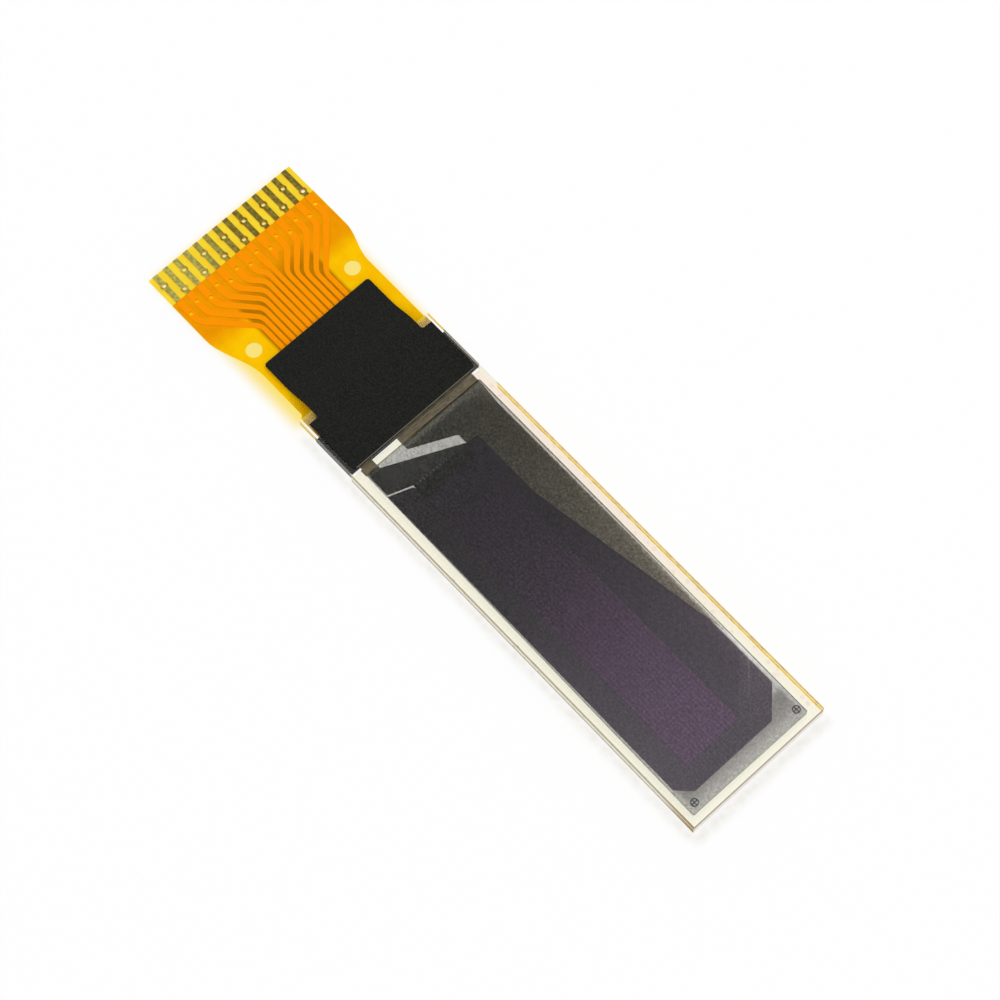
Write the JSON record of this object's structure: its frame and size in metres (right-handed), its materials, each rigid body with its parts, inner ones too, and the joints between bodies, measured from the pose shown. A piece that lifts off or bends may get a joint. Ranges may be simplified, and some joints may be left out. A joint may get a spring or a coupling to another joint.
{
  "type": "oled display module",
  "caption": "Narrow graphic OLED: two bonded glasses, dark polarised screen, black tape over the chip ledge, and a short amber flex tail ending in solder pads.",
  "frame": {"origin": "middle of the module on the rear face of the cap glass, level with the middle of the front glass", "axes": "+X along the glass, away from the tail; +Z out of the display face"},
  "size_m": [0.0368, 0.0088, 0.0013],
  "materials": {
    "clear_glass": "polished clear",
    "seal_resin": "clear amber",
    "drying_sheet": "matte",
    "lead_metal": "thin film",
    "dark_lead_metal": "thin film",
    "clear_conductor": "thin film",
    "organic_film": "thin film",
    "separator_resin": "matte",
    "cathode_metal": "mirror film darkened by the polariser",
    "polariser": "smooth grey film",
    "silicon": "ground",
    "bond_film": "cured film",
    "black_resin": "cured resin",
    "base_film": "clear amber film",
    "copper": "rolled copper",
    "pad_tin": "dull tin",
    "cover_film": "satin amber film",
    "black_tape": "matte grained"
  },
  "bodies": {
    "root": {"substrate_glass": "clear_glass", "cap_glass": "clear_glass", "edge_seal": "seal_resin", "drying_sheet": "drying_sheet", "column_leads": "lead_metal", "row_leads": "dark_lead_metal", "input_leads": "lead_metal", "anode_columns": "clear_conductor", "organic_film": "organic_film", "row_separators": "separator_resin", "cathode_film": "cathode_metal", "alignment_marks": "dark_lead_metal", "polariser_film": "polariser", "driver_chip": "silicon", "chip_bond_film": "bond_film", "tail_bond_film": "bond_film", "ledge_resin": "black_resin", "tail_base_film": "base_film", "front_copper": "copper", "rear_copper": "copper", "via_barrels": "copper", "front_pad_tin": "pad_tin", "rear_pad_tin": "pad_tin", "front_coverlay": "cover_film", "rear_coverlay": "cover_film", "front_tape": "black_tape", "rear_tape": "black_tape"}
  },
  "joints": []
}
